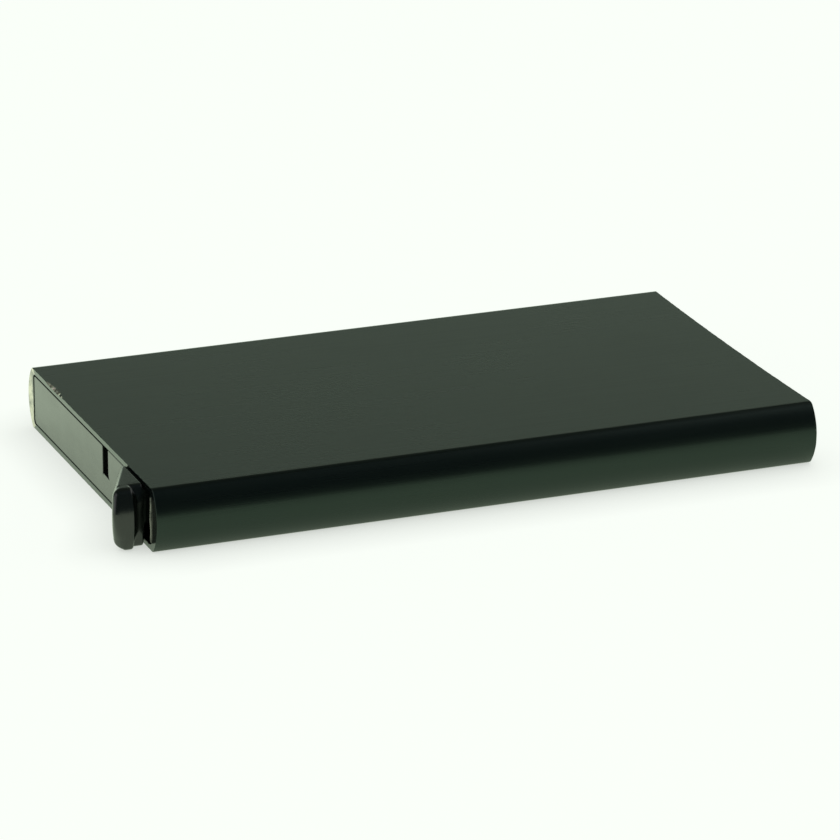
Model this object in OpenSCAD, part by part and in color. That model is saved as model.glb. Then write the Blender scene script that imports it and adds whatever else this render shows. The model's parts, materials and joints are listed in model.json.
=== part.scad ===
// Slim card wallet: an extruded aluminium sleeve, closed at one end by a plastic plug
// that carries a bell-crank lever. Sliding the lever's thumb tab across the end swings
// a stepped arm, which pushes the cards out of the open mouth as a stair.
//
// Frame: millimetres. The origin is the centre of the sleeve's flat bottom face.
// +X points to the card mouth, +Y across the sleeve, +Z up through its thickness.
// Modules that belong to the closed end are drawn with x = 0 on the sleeve's end face.

/* [Sleeve] */
// Length of the sleeve
sleeve_len = 102; // [100:1:112]
// Width across the two bulged sides
sleeve_w = 60; // [59.6:0.1:62]
// Thickness over the two flat faces
sleeve_t = 9.5; // [9.3:0.1:11]
// How far each long side bulges out at mid thickness
side_bulge = 2.0; // [1.2:0.1:2.2]
// Radius between a bulged side and a flat face
corner_r = 1.2; // [0.6:0.1:1.5]
// Thickness of the two broad walls
face_wall = 0.85; // [0.7:0.05:0.9]
// Width of the card cavity
cavity_w = 54.8; // [54.6:0.1:55.2]
// Radius in the cavity's corners
cavity_r = 0.8; // [0.4:0.1:1]
// How far the mouth's edge curves in at its middle
mouth_sag = 0.4; // [0.2:0.1:1]

/* [End plug] */
// Depth of the plug along the sleeve
plug_depth = 16; // [16:0.5:18]
// Thickness of the plug's end wall
plug_wall = 2.0; // [1.6:0.1:2]
// How far the end wall sits inside the sleeve's end
plug_recess = 0.1; // [0:0.05:0.3]
// Gap between the plug and the cavity's walls
plug_gap = 0.1; // [0.05:0.05:0.15]
// Shadow gap over the plug, under the upper wall
plug_top_gap = 0.3; // [0.2:0.05:0.4]
// Thickness of the plug's floor under the lever's hub
floor_t = 1.15; // [0.9:0.05:1.2]
// Height of the lever slot's floor above the bottom face
slot_floor_z = 3.5; // [3.4:0.1:3.6]

/* [Lever] */
// Pivot's distance from the sleeve's end
pivot_x = 7.8; // [7.6:0.1:8]
// Pivot's distance from the middle of the sleeve
pivot_off = 12.6; // [12.4:0.1:12.8]
// Diameter of the pivot pin
pin_d = 3; // [2.6:0.1:3.2]
// Running clearance of the lever on its pin, on the radius
pin_clear = 0.05; // [0.02:0.01:0.1]
// How far the lever turns to push the cards out, in degrees
lever_travel = 30; // [24:1:30]
// Number of steps in the stair on the lever's arm
stair_steps = 5; // [3:1:6]
// How far the thumb tab stands out from the sleeve's end
tab_reach = 5.5; // [5:0.1:6]

/* [Card pads] */
// Thickness of each felt pad
felt_t = 0.5; // [0.3:0.05:0.6]
// Length of each felt pad across the sleeve
felt_len = 44; // [30:1:50]
// Width of each felt pad along the sleeve
felt_w = 8; // [6:1:12]
// Thickness of the adhesive tape behind each pad
tape_t = 0.15; // [0.1:0.05:0.2]

/* [Hidden] */
$fn = 96;
FINE = 720;
EPS = 0.01;
FAR = 200;

// Cavity and plug
cavity_low = face_wall;
cavity_high = sleeve_t - face_wall;
cavity_h = cavity_high - cavity_low;
plug_half = cavity_w / 2 - plug_gap;
plug_low = cavity_low + plug_gap;
plug_high = cavity_high - plug_top_gap;
plug_h = plug_high - plug_low;
floor_top = plug_low + floor_t;
far_rail_t = 2;
near_rail_t = 0.8;
// Stops that the cards' rear corners rest on
stop_t = 2;
far_stop_w = 4;
near_stop_w = 3.3;
// Ribs that wedge the plug: under the end wall, and over and beside the far rail
crush_w = 1;
crush_wall_y = [-13, 4, 21];
crush_rail_x = [6, 11];
crush_low = 3;
crush_high = 6;
crush_front = 0.6;

// Lever. y is negative on the pivot's side of the sleeve.
pivot_y = -pivot_off;
lever_high = cavity_high - 0.15;
slot_gap = 0.2;
slot_end_gap = 0.1;
panel_low = slot_floor_z + slot_gap;
hub_low = floor_top + 0.1;
hub_r = 5.4;
panel_end_y = -7.9;
panel_end_r = hypot(pivot_x, panel_end_y - pivot_y);
panel_corner_r = 1.3;
// The slot ends where the turning panel's end corner has passed the back of the end wall.
slot_end_y = pivot_y + sqrt(pow(panel_end_r, 2) - pow(pivot_x - plug_wall, 2)) + slot_end_gap;
// Past this line the end wall is cut away at full height for the neck of the tab.
notch_y = -21;
floor_r = panel_end_r - 0.4;
floor_inset = 0.5;
floor_front = 3;
arm_low = cavity_low + 0.3;
arm_back = plug_wall + 0.4;
arm_front = plug_depth - 0.4;
arm_tip_y = 22;
arm_tip_r = 1.2;
stair_top_w = 2.8;
arm_root_y = pivot_y + 2;
arm_clear = 0.3;
stair_h = (lever_high - arm_low) / stair_steps;
stair_run = (arm_front - arm_back - stair_top_w) / (stair_steps - 1);

// Thumb tab
tab_low = 0.1;
tab_high = sleeve_t - 0.2;
tab_h = tab_high - tab_low;
tab_half = 27.5;
tab_bulge = 1.5;
tab_edge_r = 1.2;
tab_tip_r = 1.2;
tab_tip_cut = 0.12;
tab_back_x = -2.4;
ramp_start_y = -12.7;
ramp_end_y = -25.4;
neck_y = -26.1;
neck_r = 0.7;
neck_low = 0.3;
neck_end_x = -0.35;
// Gap between the sleeve's end and the part of the tab that stands above the slot
tab_gap = 0.45;
tab_sweep_gap = 0.1;
// Gap left to the sleeve's end by the low part of the tab when the lever is pushed over
sweep_gap = 0.4;

// Pin, boss and washer
pin_r = pin_d / 2;
boss_r = pin_r + 1.5;
boss_h = 1.3;
boss_gap = 0.3;
boss_top_gap = 0.2;
washer_t = 0.4;
washer_gap = 0.05;
washer_r = pin_r + 1.7;
head_r = pin_r + 1.1;
head_t = 0.6;
cup_r = washer_r + 0.3;
cup_low = lever_high - 1.2;
washer_low = cup_low + washer_gap;
head_low = washer_low + washer_t;

// Pads
pad_mouth_gap = 4;
pad_corner_r = 1;
tape_inset = 0.3;
pad_x = sleeve_len - pad_mouth_gap - felt_w;

ALUMINIUM = [0.07, 0.08, 0.075];
PLASTIC = [0.05, 0.05, 0.052];
STEEL = [0.7, 0.71, 0.72];
FELT = [0.09, 0.09, 0.1];
TAPE = [0.85, 0.83, 0.76];

function hypot(a, b) = sqrt(a * a + b * b);

// Radius of an arc from its half chord and its rise
function arc_radius(half, rise) = (half * half + rise * rise) / (2 * rise);

// Moves a module drawn at the closed end into the part's own frame
module at_end() {
    translate([-sleeve_len / 2, 0, 0])
        children();
}

// Extrudes a flat (y, z) outline along +X
module along_x(h) {
    rotate([90, 0, 90])
        linear_extrude(h)
            children();
}

// Extrudes a flat (x, y) outline from one height to another
module between(low, high) {
    translate([0, 0, low])
        linear_extrude(high - low)
            children();
}

// Box from its two opposite corners
module block(a, b) {
    translate(a)
        cube([b[0] - a[0], b[1] - a[1], b[2] - a[2]]);
}

// Cross-section with flat faces, bulged sides and rounded corners, centred on (0, 0)
module bulged_outline(w, t, bulge, r) {
    side_r = arc_radius(t / 2, bulge);
    side_y = w / 2 - side_r;
    round_z = t / 2 - r;
    round_y = side_y + sqrt(pow(side_r - r, 2) - round_z * round_z);
    join_z = round_z * side_r / (side_r - r);
    square([2 * round_y, t], center = true);
    for (s = [-1, 1]) {
        intersection() {
            translate([s * side_y, 0])
                circle(side_r, $fn = FINE);
            translate([s * w / 4, 0])
                square([w / 2, 2 * join_z], center = true);
        }
        for (u = [-1, 1])
            translate([s * round_y, u * round_z])
                circle(r);
    }
}

// Rectangle with rounded corners, from its lower-left corner
module rounded_rect(w, h, r) {
    translate([r, 0])
        square([w - 2 * r, h]);
    translate([0, r])
        square([w, h - 2 * r]);
    for (x = [r, w - r], y = [r, h - r])
        translate([x, y])
            circle(r);
}

// Extruded sleeve, cut square at the closed end and slightly hollow at the mouth
module sleeve() {
    mouth_r = arc_radius(cavity_w / 2, mouth_sag);
    color(ALUMINIUM)
        at_end()
            difference() {
                translate([0, 0, sleeve_t / 2])
                    along_x(sleeve_len)
                        bulged_outline(sleeve_w, sleeve_t, side_bulge, corner_r);
                translate([-1, -cavity_w / 2, cavity_low])
                    along_x(sleeve_len + 2)
                        rounded_rect(cavity_w, cavity_h, cavity_r);
                translate([sleeve_len - mouth_sag + mouth_r, 0, -1])
                    cylinder(r = mouth_r, h = sleeve_t + 2, $fn = FINE);
            }
}

// Walls of the plug before the slot and the bore are cut
module plug_walls() {
    block([plug_recess, notch_y, 0], [plug_wall, FAR, sleeve_t]);
    block([plug_wall - EPS, plug_half - far_rail_t, 0], [plug_depth, FAR, sleeve_t]);
    block([plug_depth - stop_t, plug_half - far_stop_w, 0], [plug_depth, FAR, sleeve_t]);
    block([plug_recess, -FAR, 0], [plug_depth, near_rail_t - plug_half, sleeve_t]);
    block([plug_depth - stop_t, -FAR, 0], [plug_depth, near_stop_w - plug_half, sleeve_t]);
    intersection() {
        translate([pivot_x, pivot_y, 0])
            cylinder(r = floor_r, h = floor_top);
        block([plug_recess + floor_inset, notch_y, 0], [plug_depth, FAR, floor_top]);
    }
    block([floor_front, -FAR, 0], [plug_depth, pivot_y, floor_top]);
}

// Small ribs that wedge the plug in the sleeve
module crush_ribs() {
    for (y = crush_wall_y)
        translate([crush_front, y, 0])
            block([0, -crush_w / 2, cavity_low], [crush_w, crush_w / 2, plug_low + EPS]);
    for (x = crush_rail_x) {
        translate([x, plug_half, 0]) {
            block([0, -far_rail_t, plug_high - EPS], [crush_w, -crush_w, cavity_high]);
            block([0, -EPS, crush_low], [crush_w, cavity_w / 2 - plug_half, crush_high]);
        }
    }
}

// Moulded plug: end wall with the lever slot, two rails, card stops, floor and pin boss
module end_plug() {
    color(PLASTIC)
        at_end() {
            difference() {
                union() {
                    intersection() {
                        translate([0, -plug_half, plug_low])
                            along_x(plug_depth)
                                rounded_rect(2 * plug_half, plug_h, cavity_r);
                        plug_walls();
                    }
                    translate([pivot_x, pivot_y, floor_top - EPS])
                        cylinder(r = boss_r, h = boss_h + EPS);
                }
                block([-1, notch_y - 1, slot_floor_z], [plug_wall + EPS, slot_end_y, sleeve_t]);
                translate([pivot_x, pivot_y, 0])
                    cylinder(r = pin_r, h = sleeve_t);
            }
            crush_ribs();
        }
}

// Outline of the thumb tab seen from above: a straight ramp, a round tip and a grooved neck
module tab_plan() {
    tip_x = tab_tip_r - tab_reach;
    tip_y = tab_tip_r - tab_half;
    difference() {
        union() {
            polygon([
                [1, ramp_start_y + 1],
                [0, ramp_start_y],
                [tab_tip_cut - tab_reach, ramp_end_y],
                [tip_x, tip_y],
                [tip_x, -tab_half],
                [1.5, -tab_half],
                [pivot_x, pivot_y]
            ]);
            translate([tip_x, tip_y])
                circle(tab_tip_r);
        }
        translate([tab_back_x + neck_r, -FAR])
            square([FAR, FAR + neck_y]);
        translate([tab_back_x, -FAR])
            square([FAR, FAR + neck_y - neck_r]);
        translate([tab_back_x + neck_r, neck_y - neck_r])
            circle(neck_r);
    }
}

// Thumb tab: nearly as thick as the sleeve outside it, cut back above and below the slot
module thumb_tab() {
    difference() {
        intersection() {
            between(tab_low, tab_high)
                tab_plan();
            translate([-tab_reach, 0, tab_low + tab_h / 2])
                along_x(2 * tab_reach + pivot_x)
                    bulged_outline(2 * tab_half, tab_h, tab_bulge, tab_edge_r);
            translate([-tab_reach, 0, tab_low])
                rotate([90, 0, 0])
                    linear_extrude(FAR)
                        rounded_rect(FAR, tab_h, tab_edge_r);
        }
        translate([pivot_x, pivot_y, 0])
            rotate([0, 0, lever_travel]) {
                block([-pivot_x - sweep_gap, -FAR, -1], [FAR, FAR, panel_low]);
                block([-pivot_x - tab_sweep_gap, -FAR, lever_high], [FAR, FAR, FAR]);
            }
        block([-tab_gap, -FAR, lever_high], [FAR, FAR, FAR]);
        block([tab_back_x, -FAR, -1], [FAR, FAR, neck_low]);
        block([neck_end_x, -FAR, -1], [FAR, FAR, panel_low]);
    }
}

// Flat panel that closes the slot, with one rounded lower corner
module slot_panel() {
    panel_len = panel_end_y - pivot_y;
    translate([0, pivot_y, panel_low])
        along_x(arm_back + 1) {
            square([panel_len - panel_corner_r, lever_high - panel_low]);
            translate([0, panel_corner_r])
                square([panel_len, lever_high - panel_low - panel_corner_r]);
            translate([panel_len - panel_corner_r, panel_corner_r])
                circle(panel_corner_r);
        }
}

// One layer of the stair, seen from above
module stair_plan(front) {
    translate([arm_back, arm_root_y])
        square([front - arm_back - arm_tip_r, arm_tip_y - arm_root_y]);
    translate([arm_back, arm_root_y])
        square([front - arm_back, arm_tip_y - arm_tip_r - arm_root_y]);
    translate([front - arm_tip_r, arm_tip_y - arm_tip_r])
        circle(arm_tip_r);
}

// Arm whose front is a stair: the lowest card is pushed farthest
module stepped_arm() {
    difference() {
        for (k = [0:stair_steps - 1])
            between(arm_low, arm_low + (k + 1) * stair_h)
                stair_plan(arm_front - k * stair_run);
        translate([pivot_x, pivot_y, -1])
            cylinder(r = floor_r + arm_clear, h = hub_low + 1);
    }
}

// Bell-crank lever in one moulding: hub, slot panel, thumb tab and stepped arm
module eject_lever() {
    color(PLASTIC)
        at_end()
            difference() {
                union() {
                    translate([pivot_x, pivot_y, hub_low])
                        cylinder(r = hub_r, h = lever_high - hub_low);
                    block([0, neck_y, panel_low], [pivot_x, pivot_y + EPS, lever_high]);
                    block([arm_back, pivot_y, hub_low], [pivot_x, arm_root_y + EPS, lever_high]);
                    slot_panel();
                    thumb_tab();
                    stepped_arm();
                }
                translate([pivot_x, pivot_y, -1])
                    cylinder(r = pin_r + pin_clear, h = sleeve_t + 2);
                translate([pivot_x, pivot_y, -1])
                    cylinder(r = boss_r + boss_gap, h = floor_top + boss_h + boss_top_gap + 1);
                translate([pivot_x, pivot_y, cup_low])
                    cylinder(r = cup_r, h = sleeve_t);
            }
}

// Headed steel pin, pressed into the plug's boss
module pivot_pin() {
    color(STEEL)
        at_end()
            translate([pivot_x, pivot_y, 0]) {
                translate([0, 0, plug_low])
                    cylinder(r = pin_r, h = head_low - plug_low + EPS);
                translate([0, 0, head_low])
                    cylinder(r = head_r, h = head_t);
            }
}

// Thin washer under the pin's head
module pivot_washer() {
    color(STEEL)
        at_end()
            translate([pivot_x, pivot_y, washer_low])
                difference() {
                    cylinder(r = washer_r, h = washer_t);
                    translate([0, 0, -1])
                        cylinder(r = pin_r + pin_clear, h = washer_t + 2);
                }
}

// Layer of a card pad between two heights, a little smaller all round by inset
module pad_layer(low, high, inset) {
    at_end()
        translate([pad_x + inset, inset - felt_len / 2, 0])
            between(low, high)
                rounded_rect(felt_w - 2 * inset, felt_len - 2 * inset, pad_corner_r);
}

module felt_pad_top() {
    color(FELT)
        pad_layer(cavity_high - tape_t - felt_t, cavity_high - tape_t, 0);
}

module felt_pad_bottom() {
    color(FELT)
        pad_layer(cavity_low + tape_t, cavity_low + tape_t + felt_t, 0);
}

module pad_tape_top() {
    color(TAPE)
        pad_layer(cavity_high - tape_t, cavity_high, tape_inset);
}

module pad_tape_bottom() {
    color(TAPE)
        pad_layer(cavity_low, cavity_low + tape_t, tape_inset);
}

sleeve();
end_plug();
eject_lever();
pivot_pin();
pivot_washer();
felt_pad_top();
felt_pad_bottom();
pad_tape_top();
pad_tape_bottom();
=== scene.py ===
"""Looks for a slim aluminium card wallet with a thumb lever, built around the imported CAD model.

Lengths in this file are millimetres, in the CAD part's own frame, and meshes are scaled to metres
as they are made. Functions that shape the closed end measure x from the sleeve's end face.
"""

import json
import math

import bmesh
import bpy
import numpy as np
import openvdb
from mathutils import Matrix, Vector, noise


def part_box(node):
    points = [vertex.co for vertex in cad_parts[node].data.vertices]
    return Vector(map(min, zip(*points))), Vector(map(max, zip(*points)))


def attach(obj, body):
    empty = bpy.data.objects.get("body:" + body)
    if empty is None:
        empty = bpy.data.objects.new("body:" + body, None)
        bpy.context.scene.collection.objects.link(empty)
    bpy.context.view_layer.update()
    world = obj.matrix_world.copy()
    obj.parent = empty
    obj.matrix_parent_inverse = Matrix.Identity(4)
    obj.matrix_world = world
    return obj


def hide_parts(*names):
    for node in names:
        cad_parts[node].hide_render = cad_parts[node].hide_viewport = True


MM = 0.001
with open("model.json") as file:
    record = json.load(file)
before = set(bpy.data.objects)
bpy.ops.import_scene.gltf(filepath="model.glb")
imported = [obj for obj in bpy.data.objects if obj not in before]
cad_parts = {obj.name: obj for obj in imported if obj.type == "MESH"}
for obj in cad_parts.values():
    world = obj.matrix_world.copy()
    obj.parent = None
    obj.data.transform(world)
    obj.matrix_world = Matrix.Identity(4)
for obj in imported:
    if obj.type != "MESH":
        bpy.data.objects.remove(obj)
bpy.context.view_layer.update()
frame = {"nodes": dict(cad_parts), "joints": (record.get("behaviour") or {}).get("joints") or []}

# ---------------------------------------------------------------- sizes from the CAD frame

sleeve_low, sleeve_high = (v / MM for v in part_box("sleeve"))
pin_low, pin_high = (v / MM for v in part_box("pivot_pin"))
washer_low, washer_high = (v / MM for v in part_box("pivot_washer"))
joint = next(j for j in frame["joints"] if j["name"] == "lever_pivot")

END_X = sleeve_low.x
LENGTH = sleeve_high.x - sleeve_low.x
HALF_W = sleeve_high.y
THICK = sleeve_high.z
MID_Z = THICK / 2
PIVOT_X = joint["pos_m"][0] / MM - END_X
PIVOT_Y = joint["pos_m"][1] / MM
TRAVEL = math.radians(joint["range_deg"][1])

# ---------------------------------------------------------------- sizes repeated from part.scad

SIDE_BULGE = 2.0
CORNER_R = 1.2
FACE_WALL = 0.85
CAVITY_HALF = 27.4
CAVITY_R = 0.8
MOUTH_SAG = 0.4
PLUG_HALF = 27.3
PLUG_LOW = 0.95
PLUG_HIGH = 8.35
PLUG_WALL = 2.0
PLUG_DEPTH = 16.0
PLUG_RECESS = 0.1
SLOT_FLOOR = 3.5
PANEL_END_Y = -7.9
PANEL_END_R = math.hypot(PIVOT_X, PANEL_END_Y - PIVOT_Y)
SLOT_END_Y = PIVOT_Y + math.sqrt(PANEL_END_R**2 - (PIVOT_X - PLUG_WALL) ** 2) + 0.1
NOTCH_Y = -21.0
LEVER_HIGH = 8.5
PANEL_LOW = 3.7
FLOOR_TOP = 2.1
HUB_LOW = 2.2
HUB_R = 5.4
PIN_R = 1.5
BOSS_R = 3.0
BOSS_TOP = 3.4
FLOOR_R = PANEL_END_R - 0.4
FLOOR_FRONT = 3.0
TAB_LOW = 0.1
TAB_HIGH = THICK - 0.2
TAB_GAP = 0.45
TAB_REACH = 5.5
TAB_HALF = 27.5
TAB_BACK_X = -2.2
NECK_Y = -26.1


# ---------------------------------------------------------------- outlines


def rounded(corners, step=0.4):
    """Closed outline through (x, y, radius) corners, anticlockwise, with points about step apart."""
    count = len(corners)
    arcs = []
    for i, (x, y, r) in enumerate(corners):
        here = Vector((x, y))
        before = (Vector(corners[i - 1][:2]) - here).normalized()
        after = (Vector(corners[(i + 1) % count][:2]) - here).normalized()
        if r == 0:
            arcs.append([here])
            continue
        half = before.angle(after) / 2
        centre = here + (before + after).normalized() * (r / math.sin(half))
        first = here + before * (r / math.tan(half)) - centre
        turn = math.pi - 2 * half
        if first.cross(after) < 0:
            turn = -turn
        steps = max(4, int(abs(turn) * r / step * 2) + 1, int(abs(turn) / 0.2))
        arcs.append([centre + Matrix.Rotation(turn * k / steps, 2) @ first for k in range(steps + 1)])
    points = []
    for i, arc in enumerate(arcs):
        points.extend(arc)
        start, end = arc[-1], arcs[(i + 1) % count][0]
        pieces = max(1, int((end - start).length / step))
        points.extend(start.lerp(end, k / pieces) for k in range(1, pieces))
    return points


def inset(points, distance):
    """The outline moved inwards by distance, along the mean of each point's two edge normals."""
    moved = []
    for i, p in enumerate(points):
        a = (p - points[i - 1]).normalized()
        b = (points[(i + 1) % len(points)] - p).normalized()
        normal = Vector((-a.y - b.y, a.x + b.x)).normalized()
        stretch = max(0.5, normal.dot(Vector((-a.y, a.x))))
        moved.append(p + normal * (distance / stretch))
    return moved


# ---------------------------------------------------------------- meshes


def plan(u, v, w):
    """Extrusion axis along Z: the outline is (x, y)."""
    return (u, v, w)


def across(u, v, w):
    """Extrusion axis along X: the outline is (y, z)."""
    return (w, u, v)


def add_prism(bm, outline, low, high, edge, place=plan, edge_steps=4):
    """Closed prism with rounded rims, added to bm in closed-end millimetres."""
    levels = []
    for k in range(edge_steps + 1):
        a = math.pi / 2 * k / edge_steps
        levels.append((edge * (1 - math.sin(a)), low + edge * (1 - math.cos(a))))
    levels += [(d, low + high - w) for d, w in reversed(levels)]
    rings = []
    for d, w in levels:
        ring = [bm.verts.new(place(p.x, p.y, w)) for p in inset(outline, d)]
        rings.append(ring)
    for below, above in zip(rings, rings[1:]):
        for i in range(len(below)):
            j = (i + 1) % len(below)
            bm.faces.new((below[i], below[j], above[j], above[i]))
    bm.faces.new(list(reversed(rings[0])))
    bm.faces.new(rings[-1])


def add_lathe(bm, profile, centre, segments=96):
    """Closed ring or plug turned about the vertical line through centre, from (radius, z) points."""
    rings = []
    for r, z in profile:
        if r < 1e-6:
            rings.append([bm.verts.new((centre[0], centre[1], z))])
            continue
        angles = (2 * math.pi * k / segments for k in range(segments))
        places = ((centre[0] + r * math.cos(t), centre[1] + r * math.sin(t), z) for t in angles)
        rings.append([bm.verts.new(place) for place in places])
    closed = profile[0][0] > 1e-6
    pairs = list(zip(rings, rings[1:] + rings[:1])) if closed else list(zip(rings, rings[1:]))
    for a, b in pairs:
        for i in range(segments):
            j = (i + 1) % segments
            corners = [a[i % len(a)], a[j % len(a)], b[j % len(b)], b[i % len(b)]]
            unique = list(dict.fromkeys(corners))
            if len(unique) > 2:
                bm.faces.new(unique)


def finish_mesh(bm, name, sharp=35, at_end=True):
    """Turns bm into an object in the part's frame, in metres, smooth but for its sharp edges."""
    if at_end:
        bmesh.ops.translate(bm, verts=bm.verts, vec=(END_X, 0, 0))
    bmesh.ops.scale(bm, verts=bm.verts, vec=(MM, MM, MM))
    bmesh.ops.recalc_face_normals(bm, faces=bm.faces)
    for face in bm.faces:
        face.smooth = True
    for edge in bm.edges:
        edge.smooth = edge.is_manifold and edge.calc_face_angle(0) < math.radians(sharp)
    mesh = bpy.data.meshes.new(name)
    bm.to_mesh(mesh)
    bm.free()
    obj = bpy.data.objects.new(name, mesh)
    bpy.context.scene.collection.objects.link(obj)
    return obj


def weigh_normals(obj):
    """Keeps flat faces flat beside their rounded rims."""
    modifier = obj.modifiers.new("weighted_normals", "WEIGHTED_NORMAL")
    modifier.keep_sharp = True
    modifier.weight = 80


def cut(obj, tools, operation):
    """Applies exact booleans of obj with each tool, then removes the tools."""
    for tool in tools:
        modifier = obj.modifiers.new("boolean", "BOOLEAN")
        modifier.object = tool
        modifier.operation = operation
        modifier.solver = "EXACT"
        depsgraph = bpy.context.evaluated_depsgraph_get()
        mesh = bpy.data.meshes.new_from_object(obj.evaluated_get(depsgraph))
        obj.modifiers.clear()
        obj.data = mesh
        bpy.data.objects.remove(tool)


def tidy_edges(obj, sharp=35):
    """Marks sharp edges by angle, after booleans have changed the mesh."""
    bm = bmesh.new()
    bm.from_mesh(obj.data)
    bmesh.ops.remove_doubles(bm, verts=bm.verts, dist=1e-7)
    for face in bm.faces:
        face.smooth = True
    for edge in bm.edges:
        edge.smooth = edge.is_manifold and edge.calc_face_angle(0) < math.radians(sharp)
    bm.to_mesh(obj.data)
    bm.free()


def prism_object(name, corners, low, high, edge, place=plan, step=0.6):
    """One prism as an object of its own, from (x, y, radius) corners."""
    bm = bmesh.new()
    add_prism(bm, rounded(corners, step), low, high, edge, place)
    return finish_mesh(bm, name)


def lathe_object(name, profile, centre, segments=96):
    """One turned solid as an object of its own, from (radius, z) points."""
    bm = bmesh.new()
    add_lathe(bm, profile, centre, segments)
    return finish_mesh(bm, name)


# ---------------------------------------------------------------- sleeve

FLAT_STEPS = 220
FILLET_STEPS = 10
SIDE_STEPS = 36
CUT_CHAMFER = 0.07
SCRAPE_Y = 17.2
SCRAPE_HALF = 4.0
SCRAPE_DEPTH = 0.6
BURR_HIGH = 0.2
BURR_WIDE = 0.1
RIM_SHIFT_MOST = 0.3
SCRAPED_FROM = 1.6 * CUT_CHAMFER
SLEEVE_RINGS = 12
# slot 1 is real wear on the scraped top edge and a painted highlight on the far wall's cut end; slot 3 is a
# painted highlight on the near wall's burr
WORN_AND_LIT_SLOT, CUT_SLOT, BURR_GLINT_SLOT = 1, 2, 3


def arc_points(cy, cz, r, start, end, steps):
    """Points on an arc in the (y, z) plane, without the last one."""
    angles = (start + (end - start) * k / steps for k in range(steps))
    return [Vector((cy + r * math.cos(t), cz + r * math.sin(t))) for t in angles]


def outer_loop():
    """The sleeve's outside, from the top flat's +Y end, anticlockwise seen from the mouth."""
    side_r = (MID_Z**2 + SIDE_BULGE**2) / (2 * SIDE_BULGE)
    side_y = HALF_W - side_r
    fillet_z = MID_Z - CORNER_R
    fillet_y = side_y + math.sqrt((side_r - CORNER_R) ** 2 - fillet_z**2)
    join = math.atan2(fillet_z, fillet_y - side_y)
    right, left = 0.0, math.pi
    points = [Vector((fillet_y * (1 - 2 * k / FLAT_STEPS), THICK)) for k in range(FLAT_STEPS)]
    high, low = MID_Z + fillet_z, MID_Z - fillet_z
    points += arc_points(-fillet_y, high, CORNER_R, math.pi / 2, left - join, FILLET_STEPS)
    points += arc_points(-side_y, MID_Z, side_r, left - join, left + join, SIDE_STEPS)
    points += arc_points(-fillet_y, low, CORNER_R, left + join, 1.5 * math.pi, FILLET_STEPS)
    points += [Vector((-fillet_y * (1 - 2 * k / FLAT_STEPS), 0.0)) for k in range(FLAT_STEPS)]
    points += arc_points(fillet_y, low, CORNER_R, -math.pi / 2, right - join, FILLET_STEPS)
    points += arc_points(side_y, MID_Z, side_r, right - join, right + join, SIDE_STEPS)
    points += arc_points(fillet_y, high, CORNER_R, right + join, math.pi / 2, FILLET_STEPS)
    return points


def inner_loop():
    """The cavity's wall, point for point beside outer_loop()."""
    y, high, low = CAVITY_HALF - CAVITY_R, THICK - FACE_WALL, FACE_WALL
    r = CAVITY_R
    points = [Vector((y * (1 - 2 * k / FLAT_STEPS), high)) for k in range(FLAT_STEPS)]
    points += arc_points(-y, high - r, r, math.pi / 2, math.pi, FILLET_STEPS)
    top, bottom = Vector((-CAVITY_HALF, high - r)), Vector((-CAVITY_HALF, low + r))
    points += [top.lerp(bottom, k / SIDE_STEPS) for k in range(SIDE_STEPS)]
    points += arc_points(-y, low + r, r, math.pi, 1.5 * math.pi, FILLET_STEPS)
    points += [Vector((-y * (1 - 2 * k / FLAT_STEPS), low)) for k in range(FLAT_STEPS)]
    points += arc_points(y, low + r, r, -math.pi / 2, 0, FILLET_STEPS)
    top, bottom = Vector((CAVITY_HALF, high - r)), Vector((CAVITY_HALF, low + r))
    points += [bottom.lerp(top, k / SIDE_STEPS) for k in range(SIDE_STEPS)]
    points += arc_points(y, high - r, r, 0, math.pi / 2, FILLET_STEPS)
    return points


def mouth_x(y):
    """Where the mouth's edge lies at y, a little hollow between the two sides."""
    return LENGTH - MOUTH_SAG * max(0.0, 1 - (y / CAVITY_HALF) ** 2)


def chamfer_at(point, seed):
    """Width of the broken edge: uneven all along, and wide at one scrape by the saw."""
    width = CUT_CHAMFER * (1 + 0.7 * noise.noise(Vector((point.x * 1.1, point.y, seed))))
    if seed == 0 and point.y > MID_Z:
        reach = max(0.0, 1 - ((point.x - SCRAPE_Y) / SCRAPE_HALF) ** 2)
        ragged = 0.6 + 0.8 * noise.noise(Vector((point.x * 2.3, 4.0, 1.0)))
        width += SCRAPE_DEPTH * reach * max(0.1, ragged)
    return width


def burr_at(point):
    """Height of the ragged burr left along the near wall's inner edge."""
    if point.x > -CAVITY_HALF + 0.05:
        return 0.0
    ends = min(1.0, (MID_Z - FACE_WALL - abs(point.y - MID_Z)) / 0.8)
    ragged = 1 + 0.4 * noise.noise(Vector((point.y * 0.5, 2.0, 5.0)))
    return BURR_HIGH * max(0.0, ends) * ragged


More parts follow.
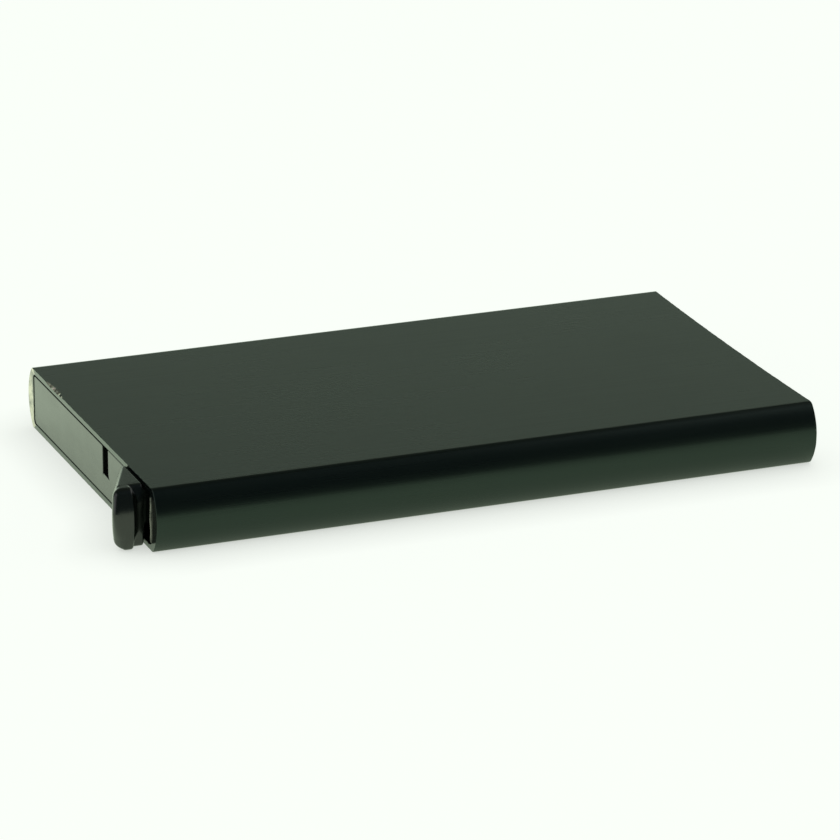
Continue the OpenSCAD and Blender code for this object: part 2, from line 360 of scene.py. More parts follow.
def make_sleeve():
    """The extrusion, one ring of points after another: outside, mouth, inside, closed end."""
    outer, inner = outer_loop(), inner_loop()
    count = len(outer)
    bm = bmesh.new()

    def ring(loop, x_of, shift_of):
        moved = inset(loop, 1.0)
        verts = []
        for i, (p, q) in enumerate(zip(loop, moved)):
            place = p + (q - p) * shift_of(i)
            verts.append(bm.verts.new((x_of(i), place.x, place.y)))
        return verts

    broken = [chamfer_at(p, 0) for p in outer]
    broken_mouth = [chamfer_at(p, 7) for p in outer]
    mouth = [mouth_x(p.x) for p in outer]
    inner_mouth = [mouth_x(p.x) for p in inner]
    burrs = [burr_at(p) for p in inner]
    rings = []
    rings.append(ring(outer, lambda i: 0.0, lambda i: min(RIM_SHIFT_MOST, broken[i])))
    rings.append(ring(outer, lambda i: broken[i], lambda i: 0.0))
    for k in range(1, SLEEVE_RINGS):
        rings.append(ring(outer, lambda i: mouth[i] * k / SLEEVE_RINGS, lambda i: 0.0))
    rings.append(ring(outer, lambda i: mouth[i] - broken_mouth[i], lambda i: 0.0))
    rings.append(ring(outer, lambda i: mouth[i], lambda i: broken_mouth[i]))
    rings.append(ring(inner, lambda i: inner_mouth[i], lambda i: -CUT_CHAMFER))
    rings.append(ring(inner, lambda i: inner_mouth[i] - CUT_CHAMFER, lambda i: 0.0))
    for k in range(SLEEVE_RINGS - 1, 0, -1):
        rings.append(ring(inner, lambda i: inner_mouth[i] * k / SLEEVE_RINGS, lambda i: 0.0))
    rings.append(ring(inner, lambda i: CUT_CHAMFER, lambda i: 0.0))
    rings.append(ring(inner, lambda i: -burrs[i], lambda i: -CUT_CHAMFER))
    rings.append(ring(inner, lambda i: 0.0, lambda i: -BURR_WIDE))
    inner_rim, burr, end_face = len(rings) - 3, len(rings) - 2, len(rings) - 1
    for r in range(len(rings)):
        a, b = rings[r], rings[(r + 1) % len(rings)]
        for i in range(count):
            j = (i + 1) % count
            face = bm.faces.new((a[i], a[j], b[j], b[i]))
            # painted highlight: only the far wall's cut end gets bright bare-metal colour, standing for the
            # brighter light it catches, while the near wall's cut end stays black
            far_wall_lit = r == end_face and outer[i].x > CAVITY_HALF
            # painted highlight: the burr's faces along the near wall's inner rim get a dim bare-metal
            # colour, set to the brightness of the glint along that edge
            near_rim_glint = r in (inner_rim, burr) and burrs[i] > 0
            scraped = r == 0 and broken[i] > SCRAPED_FROM
            if far_wall_lit or scraped:
                face.material_index = WORN_AND_LIT_SLOT
            elif near_rim_glint:
                face.material_index = BURR_GLINT_SLOT
            elif r in (burr, end_face):
                face.material_index = CUT_SLOT
    return finish_mesh(bm, "sleeve_shell", sharp=30)


# ---------------------------------------------------------------- plug

PLUG_RIM = 0.1
FAR_RAIL_T = 2.0
NEAR_RAIL_T = 0.8
STOP_T = 2.0
FAR_STOP_W = 4.0
NEAR_STOP_W = 3.3


def box_corners(u_low, u_high, v_low, v_high, r):
    """Corners of a rectangle with corner radius r, for prism_object()."""
    return [(u_low, v_high, r), (u_low, v_low, r), (u_high, v_low, r), (u_high, v_high, r)]


def make_plug_floor():
    """Part of a disc under the lever's hub, set back where the neck of the tab passes."""
    front, back, near = PLUG_RECESS + 0.6, PLUG_DEPTH - 0.05, -PLUG_HALF + 0.05
    start = math.acos((back - PIVOT_X) / FLOOR_R)
    end = math.acos((front - PIVOT_X) / FLOOR_R)
    outline = arc_points(PIVOT_X, PIVOT_Y, FLOOR_R, start, end, 48)
    outline.append(Vector((front, PIVOT_Y + FLOOR_R * math.sin(end))))
    step_y = NOTCH_Y + 0.1
    corners = ((front, step_y), (FLOOR_FRONT, step_y), (FLOOR_FRONT, near), (back, near))
    outline += [Vector(corner) for corner in corners]
    bm = bmesh.new()
    add_prism(bm, outline, PLUG_LOW + 0.02, FLOOR_TOP, 0.05)
    return finish_mesh(bm, "plug_floor")


def make_plug():
    """The moulding that closes the sleeve: end wall with its slot, rails, stops, floor and boss."""
    low, far = FACE_WALL + 0.02, CAVITY_HALF - 0.03
    wall = [
        (NOTCH_Y, SLOT_FLOOR, 0.3),
        (NOTCH_Y, low, 0.3),
        (far, low, 0.85),
        (far, PLUG_HIGH, 0.6),
        (SLOT_END_Y, PLUG_HIGH, 0.25),
        (SLOT_END_Y, SLOT_FLOOR, 0.35),
    ]
    plug = prism_object("plug_moulding", wall, PLUG_RECESS, PLUG_WALL, PLUG_RIM, across)
    high, stop_x = PLUG_HIGH - 0.05, PLUG_DEPTH - STOP_T
    far_rail = box_corners(PLUG_HALF - FAR_RAIL_T, PLUG_HALF - 0.01, PLUG_LOW + 0.01, high, 0.3)
    near_rail = box_corners(-PLUG_HALF, -PLUG_HALF + NEAR_RAIL_T, PLUG_LOW + 0.01, high, 0.3)
    far_stop = box_corners(PLUG_HALF - FAR_STOP_W, PLUG_HALF - 0.5, PLUG_LOW + 0.03, high - 0.02, 0.3)
    near_stop = box_corners(-PLUG_HALF + 0.3, -PLUG_HALF + NEAR_STOP_W, PLUG_LOW + 0.03, high - 0.02, 0.3)
    boss = [
        (0, FLOOR_TOP - 0.4),
        (BOSS_R, FLOOR_TOP - 0.4),
        (BOSS_R, BOSS_TOP - 0.2),
        (BOSS_R - 0.2, BOSS_TOP),
        (0, BOSS_TOP),
    ]
    pieces = [
        prism_object("far_rail", far_rail, PLUG_WALL - 0.5, PLUG_DEPTH, 0.15, across),
        prism_object("near_rail", near_rail, PLUG_RECESS, PLUG_DEPTH, 0.2, across),
        prism_object("far_stop", far_stop, stop_x, PLUG_DEPTH - 0.02, 0.15, across),
        prism_object("near_stop", near_stop, stop_x, PLUG_DEPTH - 0.02, 0.15, across),
        make_plug_floor(),
        lathe_object("boss", boss, (PIVOT_X, PIVOT_Y)),
    ]
    cut(plug, pieces, "UNION")
    bore = [(0, -1), (PIN_R, -1), (PIN_R, THICK), (0, THICK)]
    cut(plug, [lathe_object("bore", bore, (PIVOT_X, PIVOT_Y))], "DIFFERENCE")
    tidy_edges(plug)
    weigh_normals(plug)
    return plug


# ---------------------------------------------------------------- lever head, as a distance field

VOXEL = 0.1
PAD = 0.6
RAMP_START_Y = -14.2
RAMP_SLOPE = 0.44
RAMP_RUN = 18
RAMP_ROOT_R = 2.4
SIDE_BOW = 16.0
TAB_EDGE_R = 1.1
TAB_FOOT_R = 2.2
TAB_CORNER_R = 0.4
TAB_FOOT, TAB_SHOULDER = 0.4, 0.7
TAB_SWEEP_GAP = 0.1
SWEEP_GAP = 0.4
NECK_LOW = 0.3
NECK_FOOT, NECK_SHOULDER = 0.6, 0.5
NECK_EDGE_R = 0.3
NECK_END_X = -0.35
NECK_SLANT = 0.12
NECK_INSET = 0.45
PANEL_BACK = 3.4
PANEL_NEAR_Y = -20.0
PANEL_CORNER_R = 1.3
PANEL_EDGE_R = 0.12


def polygon_distance(px, py, points):
    """Signed distance from grid points to a closed outline, negative inside."""
    best = np.full(px.shape, 1e9, np.float32)
    inside = np.zeros(px.shape, bool)
    for i, a in enumerate(points):
        b = points[(i + 1) % len(points)]
        ex, ey = b.x - a.x, b.y - a.y
        wx, wy = px - a.x, py - a.y
        t = np.clip((wx * ex + wy * ey) / (ex * ex + ey * ey), 0, 1)
        best = np.minimum(best, (wx - t * ex) ** 2 + (wy - t * ey) ** 2)
        crosses = (a.y > py) != (b.y > py)
        if ey != 0:
            inside ^= crosses & (px < a.x + (py - a.y) * ex / ey)
    return np.where(inside, -1, 1) * np.sqrt(best)


def round_join(d1, d2, r):
    """Intersection of two fields, with its edges rounded to radius r."""
    a, b = d1 + r, d2 + r
    return np.hypot(np.maximum(a, 0), np.maximum(b, 0)) + np.minimum(np.maximum(a, b), 0) - r


def smooth_max(a, b, k):
    """Intersection of two fields, with its edges softened over the width k."""
    h = np.maximum(k - np.abs(a - b), 0) / k
    return np.maximum(a, b) + h * h * k / 4


def smooth_min(a, b, k):
    """Union of two fields, with its hollow edges softened over the width k."""
    return -smooth_max(-a, -b, k)


def slab(values, low, high):
    """Distance to the layer between two parallel planes, negative inside."""
    return np.abs(values - (low + high) / 2) - (high - low) / 2


def near_side(face_y, low, foot, shoulder):
    """(y, z) outline whose near side is cushioned: it bulges, and rolls over at the top and foot."""
    mid = (low + TAB_HIGH) / 2
    count = 60
    curve = []
    for k in range(count + 1):
        z = mid - (TAB_HIGH - low) / 2 * math.cos(math.pi * k / count)
        above = max(0.0, (z - TAB_HIGH + shoulder) / shoulder)
        below = max(0.0, (low + foot - z) / foot)
        roll = shoulder * (1 - math.sqrt(max(0.0, 1 - above**2)))
        tuck = foot * (1 - math.sqrt(max(0.0, 1 - below**2)))
        curve.append(Vector((face_y + (z - mid) ** 2 / SIDE_BOW + roll + tuck, z)))
    return [*reversed(curve), Vector((0, low)), Vector((0, TAB_HIGH))]


def lever_head_field():
    """Distance field of the thumb tab, its neck and the slot panel, on a grid in mm."""
    low = np.array([-TAB_REACH - PAD, -TAB_HALF - PAD, TAB_LOW - PAD])
    high = np.array([PANEL_BACK + PAD, PANEL_END_Y + PAD, TAB_HIGH + PAD])
    axes = [np.arange(a, b + VOXEL, VOXEL, dtype=np.float32) for a, b in zip(low, high)]
    x, y, z = np.meshgrid(*axes, indexing="ij")
    plan_grid = np.meshgrid(axes[0], axes[1], indexing="ij")
    side_grid = np.meshgrid(axes[1], axes[2], indexing="ij")

    def seen_from_above(corners):
        return polygon_distance(*plan_grid, rounded(corners, 0.2))[:, :, None]

    def seen_from_the_end(outline):
        return polygon_distance(*side_grid, outline)[None, :, :]

    ramp_start = (0.0, RAMP_START_Y, RAMP_ROOT_R)
    ramp_far = (-RAMP_SLOPE * RAMP_RUN, RAMP_START_Y - RAMP_RUN, 0)
    back = PANEL_BACK - 0.6
    wedge = [
        (back, RAMP_START_Y, 0),
        ramp_start,
        ramp_far,
        (TAB_BACK_X, ramp_far[1], 0),
        (TAB_BACK_X, NECK_Y + 1.2, 0),
        (back, NECK_Y + 1.2, 0),
    ]
    neck = [
        (back, RAMP_START_Y, 0),
        (NECK_INSET, RAMP_START_Y, RAMP_ROOT_R),
        (ramp_far[0] + NECK_INSET, ramp_far[1], 0),
        (back, ramp_far[1], 0),
    ]
    corner_share = np.clip((x + 3.7) / 0.7, 0, 1) * np.clip((-24.0 - y) / 0.7, 0, 1)
    rounding = TAB_EDGE_R + (TAB_FOOT_R - TAB_EDGE_R) * np.clip((6.0 - z) / 4.0, 0, 1)
    rounding = rounding + (TAB_CORNER_R - rounding) * corner_share
    tab_side = seen_from_the_end(near_side(-TAB_HALF, TAB_LOW, TAB_FOOT, TAB_SHOULDER))
    tab_field = round_join(seen_from_above(wedge), tab_side, rounding)
    neck_side = seen_from_the_end(near_side(NECK_Y, NECK_LOW, NECK_FOOT, NECK_SHOULDER))
    neck_field = round_join(seen_from_above(neck), neck_side, NECK_EDGE_R)
    slanted_face = NECK_Y + NECK_SLANT * (x - TAB_BACK_X) - y
    neck_field = smooth_max(neck_field, slanted_face, NECK_EDGE_R)
    head = smooth_min(tab_field, neck_field, 0.9 * np.clip((TAB_HIGH - 0.1 - z) / 1.2, 0.02, 1))
    swept = (x - PIVOT_X) * math.cos(TRAVEL) + (y - PIVOT_Y) * math.sin(TRAVEL) + PIVOT_X
    high_side = np.maximum(swept + TAB_SWEEP_GAP, x + TAB_GAP)
    head = smooth_max(head, np.minimum(high_side, z - LEVER_HIGH), 0.1)
    low_side = np.maximum(swept + SWEEP_GAP, x - NECK_END_X)
    keep = smooth_min(low_side, PANEL_LOW - z, 0.3)
    head = smooth_max(head, keep, 0.3)
    across_y = slab(y, PANEL_NEAR_Y, PANEL_END_Y)
    across_z = slab(z, PANEL_LOW, LEVER_HIGH)
    lower = round_join(across_y, across_z, PANEL_CORNER_R)
    upper = round_join(across_y, across_z, PANEL_EDGE_R)
    panel = np.where(z < (PANEL_LOW + LEVER_HIGH) / 2, lower, upper)
    panel = round_join(panel, slab(x, PLUG_RECESS, PANEL_BACK), PANEL_EDGE_R)
    head = smooth_min(head, panel, 0.3 * np.clip((LEVER_HIGH - 0.1 - z) / 1.2, 0.02, 1))
    return low, head.astype(np.float32)


def field_mesh(low, field, name):
    """Quads on the zero level of a field, pulled onto it by its gradient."""
    grid = openvdb.FloatGrid(PAD)
    grid.copyFromArray(field)
    points, quads = grid.convertToQuads(0.0)
    points = np.array(points, np.float64)
    gradient = np.gradient(field.astype(np.float64))
    top = np.array(field.shape) - 2

    def sample(values, at):
        base = np.clip(np.floor(at).astype(int), 0, top)
        f = at - base
        total = 0
        for dx in (0, 1):
            for dy in (0, 1):
                for dz in (0, 1):
                    weight = (f[:, 0] if dx else 1 - f[:, 0]) * (f[:, 1] if dy else 1 - f[:, 1])
                    weight = weight * (f[:, 2] if dz else 1 - f[:, 2])
                    total = total + weight * values[base[:, 0] + dx, base[:, 1] + dy, base[:, 2] + dz]
        return total

    for _ in range(3):
        value = sample(field, points)
        normal = np.stack([sample(g, points) for g in gradient], 1)
        size = np.maximum((normal**2).sum(1), 1e-3)
        points = points - normal * (value / size)[:, None] * 0.9
    placed = points * VOXEL + low
    bm = bmesh.new()
    verts = [bm.verts.new(p) for p in placed]
    for quad in quads:
        bm.faces.new([verts[i] for i in quad])
    return finish_mesh(bm, name, sharp=70)


# ---------------------------------------------------------------- lever arm

ARM_BACK = 2.4
ARM_FRONT = 15.6
ARM_TIP_Y = 22.0
ARM_TIP_R = 1.2
ARM_ROOT_Y = PIVOT_Y + 2
ARM_LOW = 1.15
STAIR_STEPS = 5
STAIR_TOP_W = 2.8
CUP_R = 3.5
CUP_LOW = LEVER_HIGH - 1.2


def make_lever_arm():
    """Hub and stepped arm, one layer of the stair at a time, joined into one solid."""
    hub = [
        (0, HUB_LOW),
        (HUB_R - 0.2, HUB_LOW),
        (HUB_R, HUB_LOW + 0.2),
        (HUB_R, LEVER_HIGH - 0.2),
        (HUB_R - 0.2, LEVER_HIGH),
        (0, LEVER_HIGH),
    ]
    centre = (PIVOT_X, PIVOT_Y)
    arm = lathe_object("lever_arm", hub, centre)
    rise = (LEVER_HIGH - ARM_LOW) / STAIR_STEPS
    run = (ARM_FRONT - ARM_BACK - STAIR_TOP_W) / (STAIR_STEPS - 1)
    layers = []
    for k in range(STAIR_STEPS):
        front = ARM_FRONT - k * run
        corners = [
            (ARM_BACK, ARM_TIP_Y, ARM_TIP_R * 0.5),
            (ARM_BACK, ARM_ROOT_Y, 0.3),
            (front, ARM_ROOT_Y, 0.5),
            (front, ARM_TIP_Y, ARM_TIP_R),
        ]
        low = ARM_LOW + 0.003 * k
        layers.append(prism_object("stair", corners, low, ARM_LOW + (k + 1) * rise - 0.002, 0.2, step=2))
    web = box_corners(ARM_BACK, PIVOT_X, PIVOT_Y - 1, ARM_ROOT_Y + 1, 0.3)
    neck = box_corners(0.6, PIVOT_X, NECK_Y + 0.6, PIVOT_Y + 1, 0.3)
    layers.append(prism_object("web", web, HUB_LOW + 0.01, LEVER_HIGH - 0.01, 0.1, step=2))
    layers.append(prism_object("neck", neck, PANEL_LOW + 0.1, LEVER_HIGH - 0.03, 0.1, step=2))
    sweep = [(0, -1), (PANEL_END_R - 0.1, -1), (PANEL_END_R - 0.1, HUB_LOW - 0.001), (0, HUB_LOW - 0.001)]
    cut(arm, layers, "UNION")
    cut(arm, [lathe_object("sweep", sweep, centre)], "DIFFERENCE")
    bore = [(0, -1), (PIN_R + 0.05, -1), (PIN_R + 0.05, THICK), (0, THICK)]
    under = [(0, -1), (BOSS_R + 0.3, -1), (BOSS_R + 0.3, BOSS_TOP + 0.2), (0, BOSS_TOP + 0.2)]
    cup = [(0, CUP_LOW), (CUP_R, CUP_LOW), (CUP_R, THICK), (0, THICK)]
    tools = [lathe_object("tool", profile, centre) for profile in (bore, under, cup)]
    cut(arm, tools, "DIFFERENCE")
    tidy_edges(arm)
    weigh_normals(arm)
    return arm


# ---------------------------------------------------------------- small pieces


def make_pin():
    """Turned pin with a chamfered foot and a slightly domed head."""
    x = (pin_low.x + pin_high.x) / 2 - END_X
    y = (pin_low.y + pin_high.y) / 2
    head_r = (pin_high.x - pin_low.x) / 2
    low, high = pin_low.z, pin_high.z
    profile = [
        (0, low),
        (PIN_R - 0.25, low),
        (PIN_R, low + 0.25),
        (PIN_R, washer_high.z),
        (head_r - 0.1, washer_high.z),
        (head_r, washer_high.z + 0.1),
        (head_r, high - 0.2),
        (head_r - 0.08, high - 0.07),
        (head_r - 0.3, high - 0.02),
        (0, high),
    ]
    pin = lathe_object("turned_pin", profile, (x, y))
    weigh_normals(pin)
    return pin


def make_washer():
    """Stamped washer with rounded rims."""
    x, y = (washer_low.x + washer_high.x) / 2 - END_X, (washer_low.y + washer_high.y) / 2
    r_out, r_in = (washer_high.x - washer_low.x) / 2, PIN_R + 0.05
    low, high, e = washer_low.z, washer_high.z, 0.08
    profile = [
        (r_in, low + e),
        (r_in + e, low),
        (r_out - e, low),
        (r_out, low + e),
        (r_out, high - e),
        (r_out - e, high),
        (r_in + e, high),
        (r_in, high - e),
    ]
    washer = lathe_object("stamped_washer", profile, (x, y))
    weigh_normals(washer)
    return washer


def make_felt(node, name, faces_up):
    """Pressed felt pad: rounded rim and a napped, slightly uneven face."""
    low, high = (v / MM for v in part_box(node))
    thick = high.z - low.z
    nx, ny = 40, 176
    bm = bmesh.new()
    grid = []
    for i in range(nx + 1):
        row = []
        for j in range(ny + 1):
            u, v = i / nx, j / ny
            x = low.x + (high.x - low.x) * u
            y = low.y + (high.y - low.y) * v
            rim = min(x - low.x, high.x - x, y - low.y, high.y - y)
            fall = math.sqrt(max(0.0, 1 - max(0.0, 1 - rim / 0.35) ** 2))
            nap = 0.035 * noise.noise(Vector((x * 3.1, y * 3.1, low.z))) - 0.035
            lift = max(0.06, (thick + nap) * (0.35 + 0.65 * fall))
            row.append((x, y, lift))
        grid.append(row)
    face_of = (lambda lift: low.z + lift) if faces_up else (lambda lift: high.z - lift)
    back = low.z if faces_up else high.z
    front = [[bm.verts.new((x, y, face_of(lift))) for x, y, lift in row] for row in grid]
    rear = [[bm.verts.new((x, y, back)) for x, y, lift in row] for row in grid]
    for i in range(nx):
        for j in range(ny):
            bm.faces.new((front[i][j], front[i + 1][j], front[i + 1][j + 1], front[i][j + 1]))
            bm.faces.new((rear[i][j], rear[i][j + 1], rear[i + 1][j + 1], rear[i + 1][j]))
    for i in range(nx):
        for j in (0, ny):
            bm.faces.new((front[i][j], front[i + 1][j], rear[i + 1][j], rear[i][j]))
    for j in range(ny):
        for i in (0, nx):
            bm.faces.new((front[i][j], front[i][j + 1], rear[i][j + 1], rear[i][j]))
    return finish_mesh(bm, name, sharp=60, at_end=False)


# ---------------------------------------------------------------- materials


class Nodes:
    """Short calls for building one procedural material."""

    def __init__(self, name):
        self.material = bpy.data.materials.new(name)
        self.material.use_nodes = True
        self.tree = self.material.node_tree
        self.shader = next(n for n in self.tree.nodes if n.type == "BSDF_PRINCIPLED")
        coordinates = self.tree.nodes.new("ShaderNodeTexCoord")
        self.place = coordinates.outputs["Object"]

    def set(self, **values):
        for key, value in values.items():
            self.shader.inputs[key.replace("_", " ")].default_value = value

    def link(self, output, name):
        self.tree.links.new(output, self.shader.inputs[name])

    def stretch(self, scale):
        node = self.tree.nodes.new("ShaderNodeMapping")
        node.inputs["Scale"].default_value = scale
        self.tree.links.new(self.place, node.inputs["Vector"])
        return node.outputs["Vector"]

    def noise(self, scale, detail=2.0, vector=None, roughness=0.5):
        node = self.tree.nodes.new("ShaderNodeTexNoise")
        node.inputs["Scale"].default_value = scale
        node.inputs["Detail"].default_value = detail
        node.inputs["Roughness"].default_value = roughness
        self.tree.links.new(vector or self.place, node.inputs["Vector"])
        return node.outputs["Fac"]

    def ramp(self, value, low, high, low_value, high_value):
        node = self.tree.nodes.new("ShaderNodeMapRange")
        node.inputs["From Min"].default_value = low
        node.inputs["From Max"].default_value = high
        node.inputs["To Min"].default_value = low_value
        node.inputs["To Max"].default_value = high_value
        self.tree.links.new(value, node.inputs["Value"])
        return node.outputs["Result"]

    def math(self, operation, a, b):
        node = self.tree.nodes.new("ShaderNodeMath")
        node.operation = operation
        for socket, value in zip(node.inputs, (a, b)):
            if isinstance(value, (int, float)):
                socket.default_value = value
            else:
                self.tree.links.new(value, socket)
        return node.outputs["Value"]

    def colours(self, factor, first, second):
        node = self.tree.nodes.new("ShaderNodeMix")
        node.data_type = "RGBA"
        node.inputs["A"].default_value = (*first, 1)
        node.inputs["B"].default_value = (*second, 1)
        self.tree.links.new(factor, node.inputs["Factor"])
        return node.outputs["Result"]

    def bump(self, height, distance, strength=1.0, normal=None):
        node = self.tree.nodes.new("ShaderNodeBump")
        node.inputs["Distance"].default_value = distance
        node.inputs["Strength"].default_value = strength
        self.tree.links.new(height, node.inputs["Height"])
        if normal is not None:
            self.tree.links.new(normal, node.inputs["Normal"])
        return node.outputs["Normal"]


def anodised(name, gloss):
    """Black anodised aluminium: satin, faintly drawn along its length, a little worn."""
    m = Nodes(name)
    m.set(Metallic=0.0, IOR=1.47, Specular_Tint=(0.74, 1.0, 0.87, 1))
    cloud = m.noise(45, 3)
    m.link(m.colours(cloud, (0.0016, 0.0026, 0.0026), (0.003, 0.0042, 0.004)), "Base Color")
    drawn = m.noise(60, 4, m.stretch((0.6, 60, 60)))
    grain = m.noise(9000, 2)
    rough = m.math("ADD", m.ramp(drawn, 0.3, 0.7, -0.02, 0.02), m.ramp(cloud, 0.3, 0.7, gloss, gloss + 0.04))
    m.link(rough, "Roughness")
    fine = m.bump(grain, 0.000004, 0.5)
    m.link(m.bump(drawn, 0.000012, 0.35, fine), "Normal")
    return m.material


def worn_and_lit_cut(name, bare):
    """Broken edges of the anodised ends, worn through to aluminium in places, which is real wear on the
    scraped top edge; also a painted highlight, bare-metal colour given to the far wall's cut end and the
    near wall's burr for the light they catch.
    """
    m = Nodes(name)
    saw = m.noise(90, 3, m.stretch((1, 1, 60)))
    blotch = m.noise(500, 3)
    wear = m.ramp(blotch, 0.42, 0.58, 0.35, 1.0)
    m.link(m.colours(wear, (0.02, 0.024, 0.022), bare), "Base Color")
    m.link(wear, "Metallic")
    m.link(m.ramp(saw, 0.2, 0.8, 0.2, 0.34), "Roughness")
    m.link(m.bump(saw, 0.00002, 0.4), "Normal")
    return m.material


def moulded(name, wave, gloss, ior):
    """Injection-moulded plastic, with the slow waves of a cooled flat face."""
    m = Nodes(name)
    m.set(Metallic=0.0, IOR=ior)
    cloud = m.noise(160, 3)
    m.link(m.colours(cloud, (0.004, 0.0056, 0.0046), (0.0065, 0.0086, 0.0072)), "Base Color")
    scuff = m.noise(420, 5, m.stretch((1, 0.35, 1.6)), 0.65)
    m.link(m.ramp(scuff, 0.42, 0.75, gloss, gloss + 0.07), "Roughness")
    sink = m.noise(80, 2)
    orange = m.noise(2600, 2)
    fine = m.bump(orange, 0.000006, 0.4)
    m.link(m.bump(sink, wave, 0.6, fine), "Normal")
    return m.material


def steel():
    """Turned steel, with fine rings round the pin's axis."""
    m = Nodes("turned_steel")
    m.set(Metallic=1.0)
    turned = m.noise(2500, 2, m.stretch((1, 1, 0.2)))
    m.link(m.colours(turned, (0.5, 0.5, 0.5), (0.66, 0.66, 0.66)), "Base Color")
    m.link(m.ramp(turned, 0.3, 0.7, 0.2, 0.38), "Roughness")
    m.link(m.bump(turned, 0.000008, 0.5), "Normal")
    return m.material


def felt():
    """Pressed black felt."""
    m = Nodes("pressed_felt")
    m.set(Roughness=0.95, Sheen_Weight=0.35, Sheen_Roughness=0.5)
    fibre = m.noise(5200, 4, m.stretch((1, 0.4, 1)), 0.7)
    m.link(m.colours(fibre, (0.012, 0.012, 0.013), (0.05, 0.05, 0.053)), "Base Color")
    m.link(m.bump(fibre, 0.00012, 0.9), "Normal")
    return m.material


def tape():
    """Cream adhesive tape, seen only at its cut edges."""
    m = Nodes("adhesive_tape")
    edge = m.noise(1500, 3)
    m.link(m.colours(edge, (0.6, 0.57, 0.46), (0.74, 0.71, 0.6)), "Base Color")
    m.link(m.ramp(edge, 0.3, 0.7, 0.45, 0.65), "Roughness")
    m.link(m.bump(edge, 0.00003, 0.5), "Normal")
    return m.material


def dress(obj, *materials):
    """Gives obj these materials, and keeps which face has which."""
    for i, material in enumerate(materials):
        if i < len(obj.data.materials):
            obj.data.materials[i] = material
        else:
            obj.data.materials.append(material)


# ---------------------------------------------------------------- the wallet

plastic_plug = moulded("moulded_plug", 0.00016, 0.18, 1.54)
plastic_lever = moulded("moulded_lever", 0.00002, 0.17, 1.56)
steel_finish = steel()
felt_finish = felt()
tape_finish = tape()

sleeve = make_sleeve()
# the far wall's cut end and the near wall's burr get bare-metal colour as a painted highlight; the scraped
# top edge is real wear
dress(sleeve, anodised("anodised_black", 0.27), worn_and_lit_cut("worn_and_lit_aluminium_edge", (0.54, 0.48, 0.42)),
      anodised("anodised_cut", 0.1), worn_and_lit_cut("burr_glint", (0.2, 0.19, 0.18)))
plug = make_plug()
dress(plug, plastic_plug)
head = field_mesh(*lever_head_field(), "lever_head")
dress(head, plastic_lever)
arm = make_lever_arm()
dress(arm, plastic_lever)
pin = make_pin()
washer = make_washer()
felt_top = make_felt("felt_pad_top", "felt_top", False)
felt_bottom = make_felt("felt_pad_bottom", "felt_bottom", True)
for piece in (pin, washer):
    dress(piece, steel_finish)
for piece in (felt_top, felt_bottom):
    dress(piece, felt_finish)
for node in ("pad_tape_top", "pad_tape_bottom"):
    dress(frame["nodes"][node], tape_finish)

replaced = [
    (sleeve, "case", "anodised_sleeve", "sleeve"),
    (plug, "case", "black_plastic", "end_plug"),
    (head, "lever", "black_plastic", "eject_lever"),
    (arm, "lever", "black_plastic", "eject_lever"),
    (pin, "case", "pin_steel", "pivot_pin"),
    (washer, "case", "pin_steel", "pivot_washer"),
    (felt_top, "case", "pad_felt", "felt_pad_top"),
    (felt_bottom, "case", "pad_felt", "felt_pad_bottom"),
]
for piece, body, slot, node in replaced:
    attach(piece, body)
    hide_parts(node)

# ---------------------------------------------------------------- stage, light and camera


TABLE_SHOWN = (0.9, 0.94, 0.885)
TABLE_DIFFUSE = 0.2
TABLE_LIGHT = (0.84, 1.0, 0.76)
TABLE_GLOW = (1.05, 1.4)
GLOW_SPAN = (-0.04, 0.05)
CONTACT_REACH = 0.009
CONTACT_SHADE = 0.4
FRONT_WORLD = ((0.72, 1.0, 1.1), [(0.0, 0.1), (0.1, 0.07), (0.5, 0.07), (0.9, 0.1)])
BACK_WORLD = (
    (0.8, 1.0, 0.79),
    [
        (0.0, 1.6),
        (0.09, 1.15),
        (0.17, 0.78),
        (0.24, 0.52),
        (0.30, 0.35),
        (0.36, 0.22),
        (0.43, 0.14),
        (0.9, 0.09),
    ],
)


def make_floor():
    """Pale table lit from behind, seen from above only, so that the underside can be looked at."""
    bm = bmesh.new()
    bmesh.ops.create_grid(bm, x_segments=8, y_segments=8, size=6000)
    floor = finish_mesh(bm, "table", at_end=False)
    m = Nodes("pale_table")
    new, link = m.tree.nodes.new, m.tree.links.new
    dull, pale = [TABLE_DIFFUSE] * 3, [TABLE_DIFFUSE * 1.03] * 3
    m.link(m.colours(m.noise(0.8, 2), dull, pale), "Base Color")
    m.set(Roughness=0.9, Specular_IOR_Level=0.0, Emission_Color=(*TABLE_SHOWN, 1), Emission_Strength=1.0)
    contact = new("ShaderNodeAmbientOcclusion")
    contact.samples = 4
    contact.inputs["Distance"].default_value = CONTACT_REACH
    shade = m.ramp(contact.outputs["AO"], 0.0, 1.0, 1 - CONTACT_SHADE, 1.0)
    link(shade, m.shader.inputs["Emission Strength"])
    split = new("ShaderNodeSeparateXYZ")
    link(m.place, split.inputs[0])
    glow = new("ShaderNodeEmission")
    glow.inputs["Color"].default_value = (*TABLE_LIGHT, 1)
    from_behind = m.ramp(split.outputs["Y"], *GLOW_SPAN, *TABLE_GLOW)
    link(m.math("MULTIPLY", shade, from_behind), glow.inputs["Strength"])
    rays, surface = new("ShaderNodeLightPath"), new("ShaderNodeNewGeometry")
    clear = new("ShaderNodeBsdfTransparent")
    seen, sides = new("ShaderNodeMixShader"), new("ShaderNodeMixShader")
    link(rays.outputs["Is Camera Ray"], seen.inputs["Fac"])
    link(glow.outputs["Emission"], seen.inputs[1])
    link(m.shader.outputs["BSDF"], seen.inputs[2])
    link(surface.outputs["Backfacing"], sides.inputs["Fac"])
    link(seen.outputs["Shader"], sides.inputs[1])
    link(clear.outputs["BSDF"], sides.inputs[2])
    output = next(n for n in m.tree.nodes if n.type == "OUTPUT_MATERIAL")
    link(sides.outputs["Shader"], output.inputs["Surface"])
    dress(floor, m.material)
    floor.location.z = -0.00003


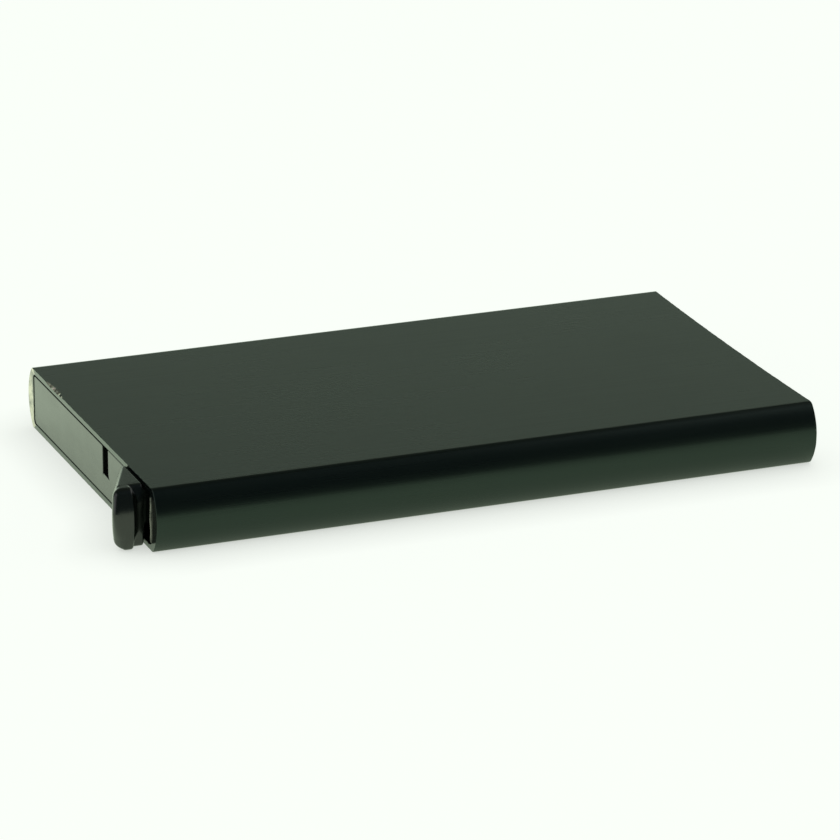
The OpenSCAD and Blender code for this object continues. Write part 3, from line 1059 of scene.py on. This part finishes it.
def make_world():
    """Studio round the table: dim in front, and bright low down behind the wallet."""
    world = bpy.data.worlds.new("studio")
    bpy.context.scene.world = world
    world.use_nodes = True
    tree = world.node_tree
    coordinates = tree.nodes.new("ShaderNodeTexCoord")
    split = tree.nodes.new("ShaderNodeSeparateXYZ")
    tree.links.new(coordinates.outputs["Generated"], split.inputs[0])

    def gradient(tint, stops):
        ramp = tree.nodes.new("ShaderNodeValToRGB")
        tree.links.new(split.outputs["Z"], ramp.inputs["Fac"])
        elements = ramp.color_ramp.elements
        while len(elements) < len(stops):
            elements.new(0.5)
        for element, (height, value) in zip(elements, stops):
            element.position = height
            element.color = (value * tint[0], value * tint[1], value * tint[2], 1)
        return ramp.outputs["Color"]

    side = tree.nodes.new("ShaderNodeMapRange")
    side.inputs["From Min"].default_value = -0.25
    side.inputs["From Max"].default_value = 0.25
    tree.links.new(split.outputs["Y"], side.inputs["Value"])
    mix = tree.nodes.new("ShaderNodeMix")
    mix.data_type = "RGBA"
    tree.links.new(side.outputs["Result"], mix.inputs["Factor"])
    tree.links.new(gradient(*FRONT_WORLD), mix.inputs["A"])
    tree.links.new(gradient(*BACK_WORLD), mix.inputs["B"])
    tree.links.new(mix.outputs["Result"], tree.nodes["Background"].inputs["Color"])


def make_light(name, place, size, power):
    """Square softbox at place, in metres, turned towards the wallet."""
    light = bpy.data.lights.new(name, "AREA")
    light.size = size
    light.energy = power
    obj = bpy.data.objects.new(name, light)
    bpy.context.scene.collection.objects.link(obj)
    obj.location = place
    obj.rotation_euler = (-Vector(place)).to_track_quat("-Z", "Y").to_euler()


SOFTBOX_SIZE = 1.2
SOFTBOX_WATTS = 3
CAMERA_AZIMUTH = -21.663
CAMERA_ELEVATION = 19.666
CAMERA_ROLL = 0.2
CAMERA_DISTANCE = 730.57
CAMERA_AIM = (-0.64, -2.38, 4.75)
CAMERA_LENS = 211.8


def make_camera():
    """Long lens, low on the left, as a small product is photographed."""
    azimuth, elevation = math.radians(CAMERA_AZIMUTH), math.radians(CAMERA_ELEVATION)
    level = math.cos(elevation)
    back = Vector((math.sin(azimuth) * level, -math.cos(azimuth) * level, math.sin(elevation)))
    right = (-back).cross(Vector((0, 0, 1))).normalized()
    up = right.cross(-back)
    roll = math.radians(CAMERA_ROLL)
    tilted_right = right * math.cos(roll) + up * math.sin(roll)
    tilted_up = up * math.cos(roll) - right * math.sin(roll)
    camera = bpy.data.cameras.new("camera")
    camera.lens = CAMERA_LENS
    camera.sensor_width = 36
    camera.clip_start = 0.01
    camera.clip_end = 100
    obj = bpy.data.objects.new("camera", camera)
    bpy.context.scene.collection.objects.link(obj)
    place = (Vector(CAMERA_AIM) + back * CAMERA_DISTANCE) * MM
    turn = Matrix((tilted_right, tilted_up, back)).transposed().to_4x4()
    obj.matrix_world = Matrix.Translation(place) @ turn
    bpy.context.scene.camera = obj


make_floor()
make_world()
make_light("left_softbox", (-0.9, -0.15, 0.55), SOFTBOX_SIZE, SOFTBOX_WATTS)
make_light("right_softbox", (0.9, -0.1, 0.5), SOFTBOX_SIZE, SOFTBOX_WATTS)
make_camera()
bpy.context.scene.view_settings.view_transform = "Standard"
